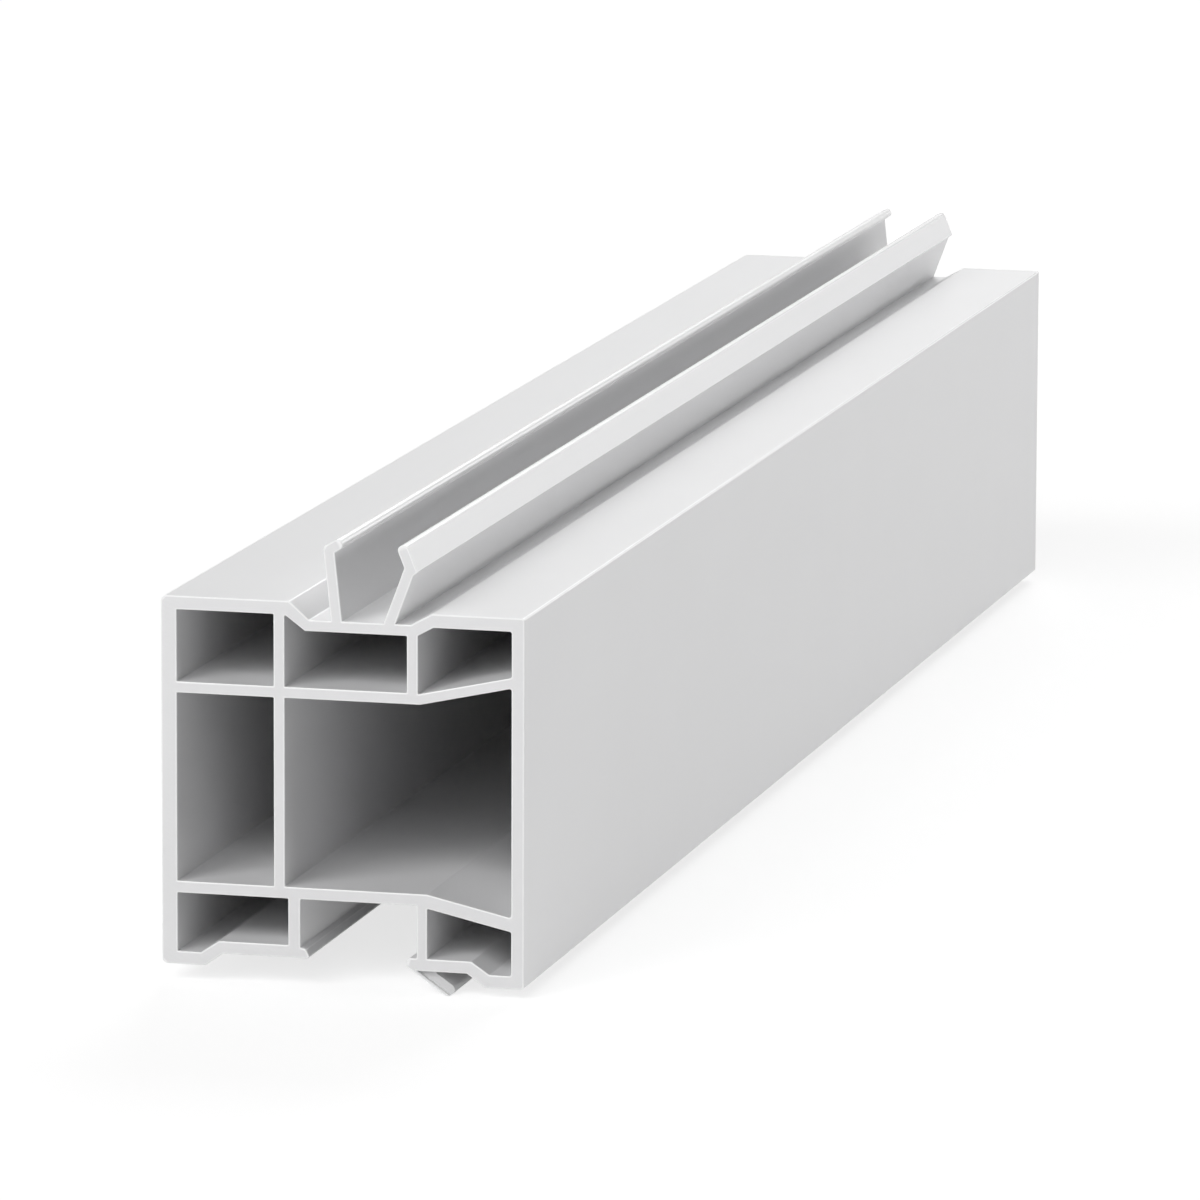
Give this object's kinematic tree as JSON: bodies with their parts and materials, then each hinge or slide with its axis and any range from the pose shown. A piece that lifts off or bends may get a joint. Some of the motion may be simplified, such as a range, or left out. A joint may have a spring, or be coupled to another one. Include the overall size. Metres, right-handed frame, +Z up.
{
  "type": "window extension profile",
  "caption": "Hollow white uPVC window frame extension profile: chambered box section with clip prongs on top and a clip groove underneath, cut square at both ends.",
  "frame": {"origin": "middle of the length and of the width, at the level of the lowest line, the tip of the sealing lip", "axes": "+Y along the extrusion, +Z up with the clip prongs on top, +X across towards the side with the sealing lip"},
  "size_m": [0.06, 0.4, 0.073],
  "materials": {
    "white_upvc": "satin white uPVC with faint die lines along the extrusion"
  },
  "bodies": {
    "root": {"extension_profile": "white_upvc"}
  },
  "joints": []
}
